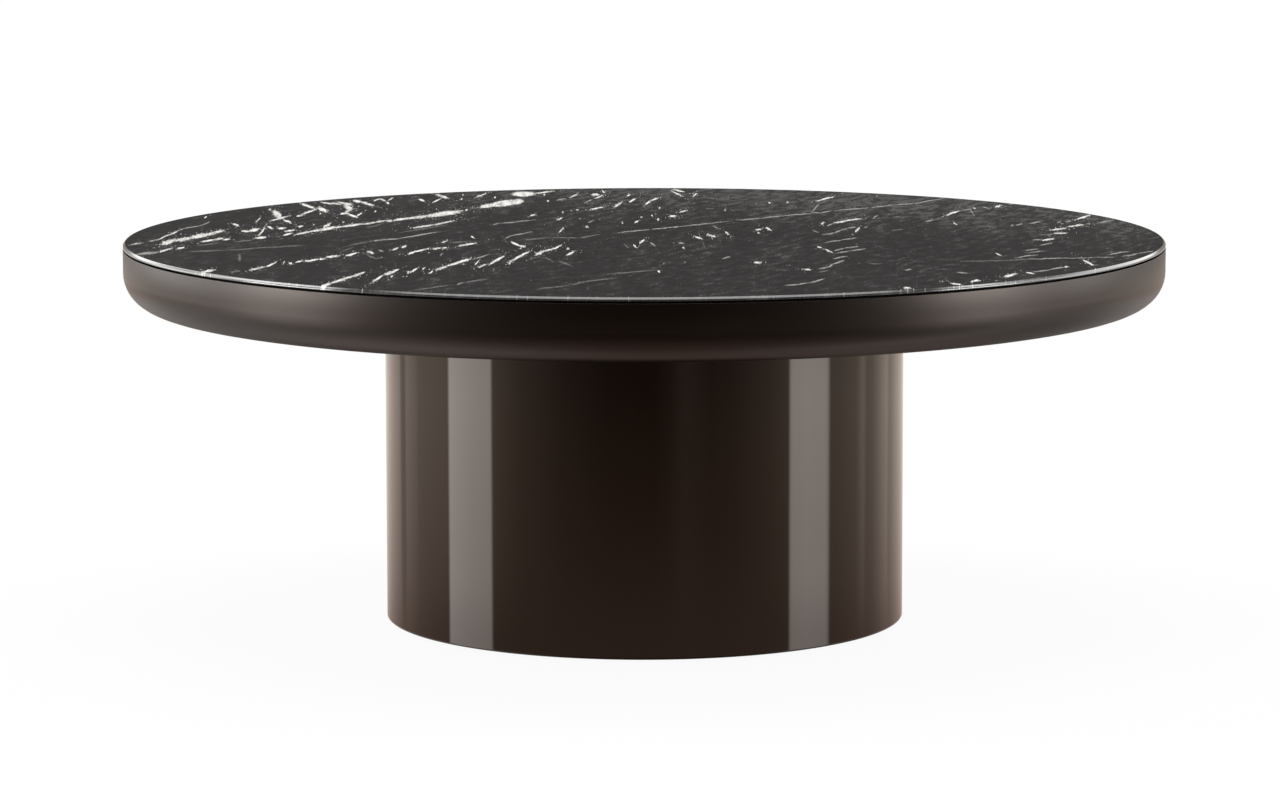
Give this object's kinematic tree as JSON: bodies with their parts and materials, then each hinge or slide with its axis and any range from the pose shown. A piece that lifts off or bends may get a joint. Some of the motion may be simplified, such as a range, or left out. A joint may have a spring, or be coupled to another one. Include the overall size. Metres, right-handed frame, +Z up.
{
  "type": "round cocktail table",
  "caption": "Low round cocktail table: a black veined stone top laid in a thick satin lacquered rim with a rounded lower edge, on a gloss drum base with levelling feet.",
  "frame": {"origin": "on the floor, on the table's axis, with the levelling feet screwed fully in", "axes": "+Z up along the table's axis; +X to the right and +Y away in the picture's view"},
  "size_m": [0.9999, 1, 0.37],
  "materials": {
    "marble": "honed black marble, white veins",
    "rim_lacquer": "satin dark brown lacquer on fibreboard",
    "drum_lacquer": "gloss dark brown lacquer on steel",
    "underside_lacquer": "satin dark brown lacquer on fibreboard",
    "board": "raw birch plywood",
    "silicone": "clear grey silicone",
    "foam": "black closed-cell foam",
    "black_steel": "black powder coat",
    "zinc_steel": "bright zinc plate",
    "nylon": "black moulded nylon",
    "felt": "pressed wool felt"
  },
  "bodies": {
    "base": {"rim_ring": "rim_lacquer", "drum_sleeve": "drum_lacquer", "deck_board": "board", "hub_spacer": "board", "rib_1": "board", "rib_2": "board", "rib_3": "board", "rib_4": "board", "rib_5": "board", "rib_6": "board", "rib_7": "board", "rib_8": "board", "underside_board": "underside_lacquer", "stone_bumpers": "silicone", "lip_seal": "foam", "top_plate": "black_steel", "bottom_plate": "black_steel", "sleeve_clips": "black_steel", "post_1": "black_steel", "post_2": "black_steel", "post_3": "black_steel", "post_4": "black_steel", "deck_screws": "zinc_steel", "top_bolts": "zinc_steel", "bolt_washers": "zinc_steel", "bolt_nuts": "zinc_steel", "clip_screws": "zinc_steel", "foot_nuts": "zinc_steel"},
    "stone": {"stone_top": "marble"},
    "pad_1": {"foot_pad_1": "nylon", "foot_sole_1": "felt"},
    "stem_1": {"foot_stem_1": "zinc_steel"},
    "pad_2": {"foot_pad_2": "nylon", "foot_sole_2": "felt"},
    "stem_2": {"foot_stem_2": "zinc_steel"},
    "pad_3": {"foot_pad_3": "nylon", "foot_sole_3": "felt"},
    "stem_3": {"foot_stem_3": "zinc_steel"},
    "pad_4": {"foot_pad_4": "nylon", "foot_sole_4": "felt"},
    "stem_4": {"foot_stem_4": "zinc_steel"}
  },
  "joints": [
    {"name": "stone_lift", "type": "slide", "parent": "base", "child": "stone", "axis": [0, 0, 1], "range_m": [0, 0.08]},
    {"name": "foot_travel_1", "type": "slide", "parent": "base", "child": "pad_1", "axis": [0, 0, -1], "range_m": [0, 0.012]},
    {"name": "stem_turn_1", "type": "hinge", "parent": "pad_1", "child": "stem_1", "pos_m": [0.14142, 0.14142, 0.01], "axis": [0, 0, -1], "range_deg": [0, 2880]},
    {"name": "foot_travel_2", "type": "slide", "parent": "base", "child": "pad_2", "axis": [0, 0, -1], "range_m": [0, 0.012]},
    {"name": "stem_turn_2", "type": "hinge", "parent": "pad_2", "child": "stem_2", "pos_m": [-0.14142, 0.14142, 0.01], "axis": [0, 0, -1], "range_deg": [0, 2880]},
    {"name": "foot_travel_3", "type": "slide", "parent": "base", "child": "pad_3", "axis": [0, 0, -1], "range_m": [0, 0.012]},
    {"name": "stem_turn_3", "type": "hinge", "parent": "pad_3", "child": "stem_3", "pos_m": [-0.14142, -0.14142, 0.01], "axis": [0, 0, -1], "range_deg": [0, 2880]},
    {"name": "foot_travel_4", "type": "slide", "parent": "base", "child": "pad_4", "axis": [0, 0, -1], "range_m": [0, 0.012]},
    {"name": "stem_turn_4", "type": "hinge", "parent": "pad_4", "child": "stem_4", "pos_m": [0.14142, -0.14142, 0.01], "axis": [0, 0, -1], "range_deg": [0, 2880]}
  ],
  "couplings": [
    {"joint": "stem_turn_1", "follows": "foot_travel_1", "rad_per_m": 4188.8},
    {"joint": "stem_turn_2", "follows": "foot_travel_2", "rad_per_m": 4188.8},
    {"joint": "stem_turn_3", "follows": "foot_travel_3", "rad_per_m": 4188.8},
    {"joint": "stem_turn_4", "follows": "foot_travel_4", "rad_per_m": 4188.8}
  ]
}
